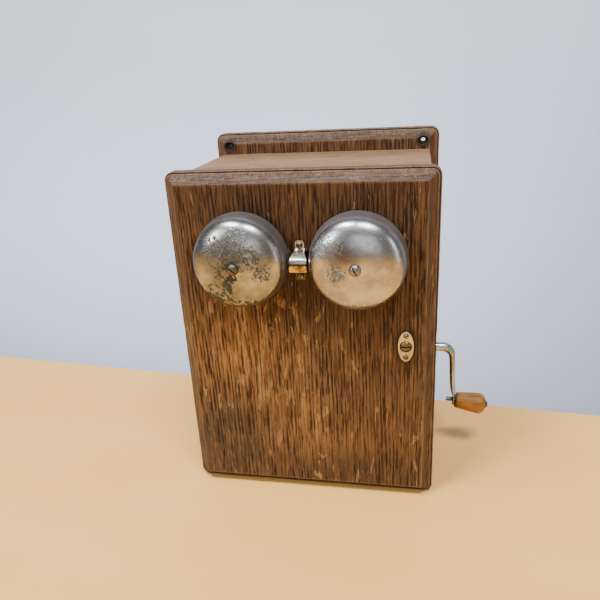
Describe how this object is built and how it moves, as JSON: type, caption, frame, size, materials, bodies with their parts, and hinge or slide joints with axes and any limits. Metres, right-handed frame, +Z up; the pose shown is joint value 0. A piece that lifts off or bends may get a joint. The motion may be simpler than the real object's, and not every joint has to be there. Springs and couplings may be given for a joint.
{
  "type": "wall crank telephone ringer box",
  "caption": "Oak wall box of a crank telephone with nickel gongs outside its hinged door, a clapper between them, a latch, and a magneto inside turned by a crank on the side.",
  "frame": {"origin": "centre of the flat underside of the case, which the box stands on when it is off the wall", "axes": "+Z up, +Y to the back, towards the wall, +X to the right as seen from the front, where the crank is"},
  "size_m": [0.2713, 0.1996, 0.3048],
  "materials": {
    "oak": "brown-stained oak, worn varnish",
    "oak_top": "worn, bleached oak",
    "nickel": "tarnished nickel plate",
    "brass": "tarnished brass",
    "steel": "dull steel",
    "iron": "dark iron",
    "magnet_paint": "black japan over steel",
    "green_silk": "silk-covered wire",
    "copper_wire": "varnished winding",
    "hard_rubber": "satin",
    "honey_wood": "amber varnish"
  },
  "bodies": {
    "case": {"backboard": "oak", "bottom_panel": "oak", "contact_spring": "brass", "crank_bushing": "nickel", "hinge_lower_case_leaf": "brass", "hinge_upper_case_leaf": "brass", "latch_keeper": "brass", "line_wire_left": "green_silk", "line_wire_right": "green_silk", "magneto_base_plate": "brass", "magneto_end_plate_left": "brass", "magneto_end_plate_right": "brass", "magneto_magnet_1": "magnet_paint", "magneto_magnet_2": "magnet_paint", "magneto_magnet_3": "magnet_paint", "magneto_pole_front": "iron", "magneto_pole_rear": "iron", "magneto_shelf": "oak", "side_left": "oak", "side_right": "oak", "spring_block": "hard_rubber", "terminal_post_left": "brass", "terminal_post_right": "brass", "terminal_strip": "hard_rubber", "top_panel": "oak_top"},
    "door": {"door_panel": "oak", "hinge_upper_door_leaf": "brass", "hinge_lower_door_leaf": "brass", "gong_left": "nickel", "gong_right": "nickel", "gong_post_left": "brass", "gong_post_right": "brass", "gong_screw_left": "nickel", "gong_screw_right": "nickel", "escutcheon": "nickel", "escutcheon_screw_top": "brass", "escutcheon_screw_bottom": "brass", "clapper_guard": "nickel", "guard_screw_top": "nickel", "guard_screw_bottom": "nickel", "ringer_frame": "brass", "ringer_yoke": "iron", "ringer_coil_left": "green_silk", "ringer_coil_right": "green_silk", "ringer_magnet": "magnet_paint", "ringer_pivot_pin": "steel"},
    "latch": {"latch_screw": "brass", "latch_cam": "brass"},
    "clapper": {"ringer_armature": "iron", "clapper_rod": "steel", "clapper_ball": "brass"},
    "crank": {"crank_shaft": "steel", "drive_gear": "brass", "crank_arm": "nickel", "grip_spindle": "steel"},
    "grip": {"crank_grip": "honey_wood"},
    "armature": {"armature_core": "iron", "armature_winding": "copper_wire", "armature_head_left": "brass", "armature_pinion": "brass"}
  },
  "joints": [
    {"name": "door_swing", "type": "hinge", "parent": "case", "child": "door", "pos_m": [-0.1045, -0.0606, 0.146], "axis": [0, 0, -1], "range_deg": [0, 110]},
    {"name": "latch_turn", "type": "hinge", "parent": "door", "child": "latch", "pos_m": [0.0836, -0.07, 0.1486], "axis": [0, 1, 0], "range_deg": [0, 90]},
    {"name": "clapper_swing", "type": "hinge", "parent": "door", "child": "clapper", "pos_m": [0.0008, -0.0435, 0.16], "axis": [0, 1, 0], "range_deg": [-3, 3]},
    {"name": "crank_turn", "type": "hinge", "parent": "case", "child": "crank", "pos_m": [0, 0, 0.11], "axis": [1, 0, 0], "continuous": true},
    {"name": "grip_spin", "type": "hinge", "parent": "crank", "child": "grip", "pos_m": [0.1289, 0, 0.0532], "axis": [0.9925, 0, -0.1219], "continuous": true},
    {"name": "armature_spin", "type": "hinge", "parent": "case", "child": "armature", "pos_m": [-0.014, 0, 0.068], "axis": [1, 0, 0], "continuous": true}
  ],
  "couplings": [
    {"joint": "armature_spin", "follows": "crank_turn", "ratio": -5}
  ]
}
